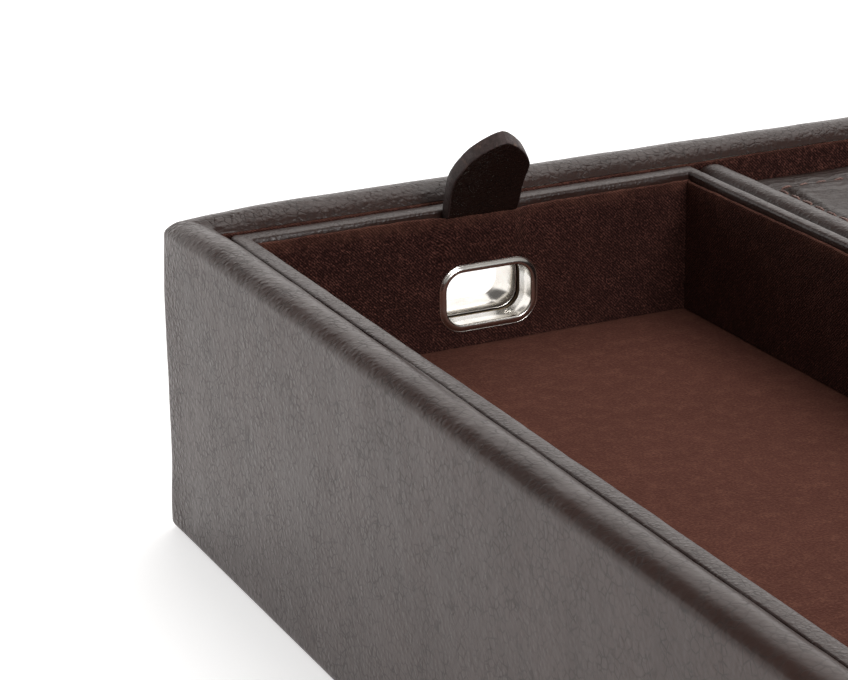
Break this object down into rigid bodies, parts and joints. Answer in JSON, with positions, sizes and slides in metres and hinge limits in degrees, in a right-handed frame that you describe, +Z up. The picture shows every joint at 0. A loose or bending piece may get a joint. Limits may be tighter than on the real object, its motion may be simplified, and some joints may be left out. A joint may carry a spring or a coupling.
{
  "type": "leather valet tray",
  "caption": "Leather-wrapped rectangular valet tray with padded rim, suede-lined lift-out charging insert with pull tab and cable slot, divider and raised stitched leather tray.",
  "frame": {"origin": "bottom centre of the box, on the surface it stands on", "axes": "+X along the long side, towards the raised tray; +Y towards the back, where the cable slot is; +Z up"},
  "size_m": [0.3, 0.24, 0.0726],
  "materials": {
    "leather": "dark brown pebbled leather, soft satin",
    "suede": "reddish brown brushed microsuede",
    "board": "raw fibreboard",
    "foam": "open-cell padding",
    "card": "grey board",
    "felt": "dark brown felt",
    "thread": "reddish tan sewing thread",
    "nickel": "polished nickel plate"
  },
  "bodies": {
    "box": {"outer_leather": "leather", "rim_padding_back": "foam", "rim_padding_front": "foam", "rim_padding_left": "foam", "rim_padding_right": "foam", "back_wall_board": "board", "front_wall_board": "board", "left_wall_board": "board", "right_wall_board": "board", "base_board": "board", "base_cover": "felt", "lining_back": "suede", "lining_front": "suede", "lining_left": "suede", "lining_right": "suede", "well_floor_lining": "suede", "divider_board": "board", "divider_leather": "leather", "ledge_left": "suede", "ledge_right": "suede", "tray_rail_left": "board", "tray_rail_middle": "board", "tray_rail_right": "board", "tray_board": "board", "pad_backing_card": "card", "pad_foam": "foam", "pad_leather": "leather", "pad_stitching": "thread", "box_slot_grommet": "nickel"},
    "insert": {"insert_leather": "leather", "insert_wall_back": "board", "insert_wall_front": "board", "insert_wall_left": "board", "insert_wall_right": "board", "insert_base_board": "board", "insert_bottom_cover": "felt", "insert_floor_card": "suede", "insert_card_back": "suede", "insert_card_front": "suede", "insert_card_left": "suede", "insert_card_right": "suede", "pull_tab_root": "leather", "insert_slot_grommet": "nickel"},
    "tab": {"pull_tab": "leather"}
  },
  "joints": [
    {"name": "insert_lift", "type": "slide", "parent": "box", "child": "insert", "axis": [0, 0, 1], "range_m": [0, 0.06]},
    {"name": "tab_fold", "type": "hinge", "parent": "insert", "child": "tab", "pos_m": [-0.09275, 0.1054, 0.05697], "axis": [1, 0, 0], "range_deg": [-25, 50], "stiffness_Nm_per_rad": 0.01}
  ]
}
